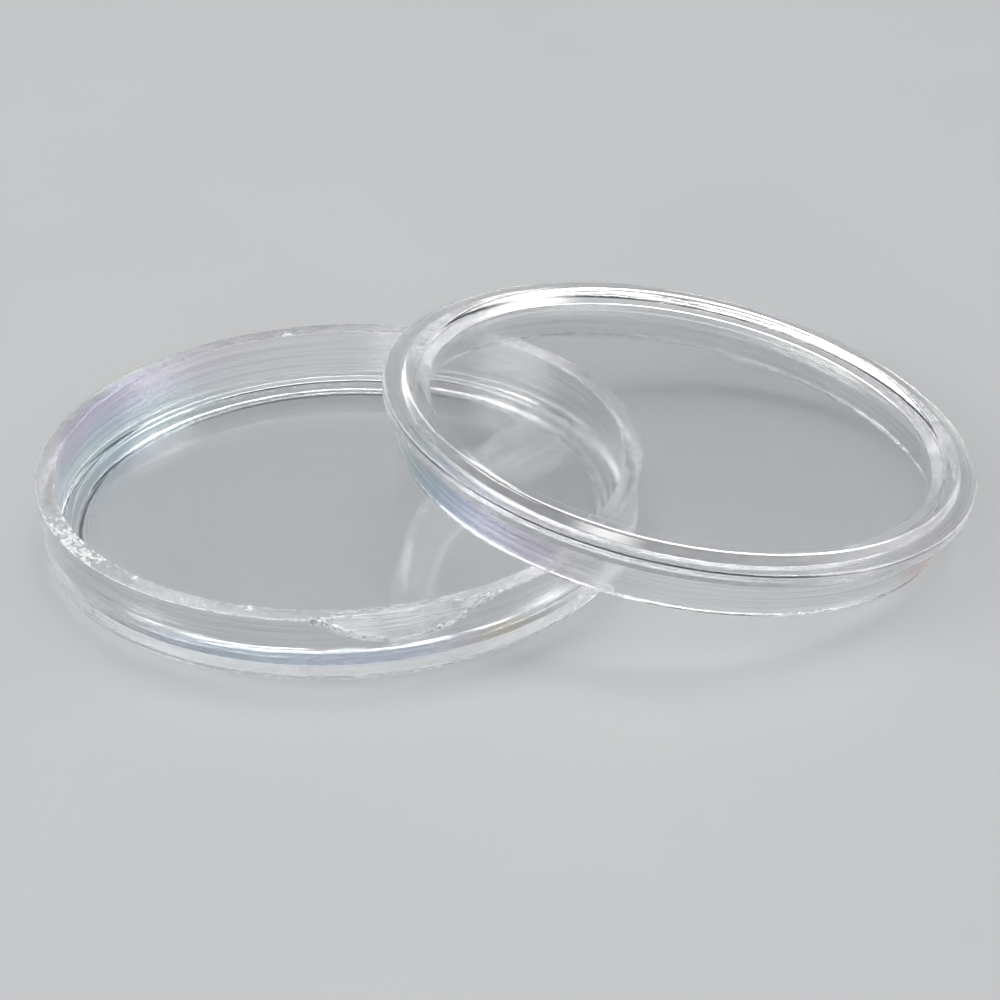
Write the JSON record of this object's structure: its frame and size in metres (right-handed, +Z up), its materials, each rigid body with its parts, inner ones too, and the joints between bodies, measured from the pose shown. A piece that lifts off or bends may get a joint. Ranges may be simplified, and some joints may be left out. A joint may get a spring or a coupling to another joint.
{
  "type": "coin capsule",
  "caption": "Round clear two-piece coin capsule, opened: a ledged base with a thumb notch and a push-in lid leaning on its rim.",
  "frame": {"origin": "centre of the base's standing ring, on the surface the base rests on", "axes": "+Z up along the base's axis, +X from the base towards the leaning lid; the lid's axis lies in the X-Z plane"},
  "size_m": [0.0718, 0.046, 0.0129],
  "materials": {
    "clear_polystyrene": "gloss"
  },
  "bodies": {
    "base": {"base_shell": "clear_polystyrene"},
    "lid": {"lid_shell": "clear_polystyrene"}
  },
  "joints": [
    {"name": "lid_lift", "type": "slide", "parent": "base", "child": "lid", "axis": [0, 0, 1], "range_m": [0, 0.03]}
  ]
}
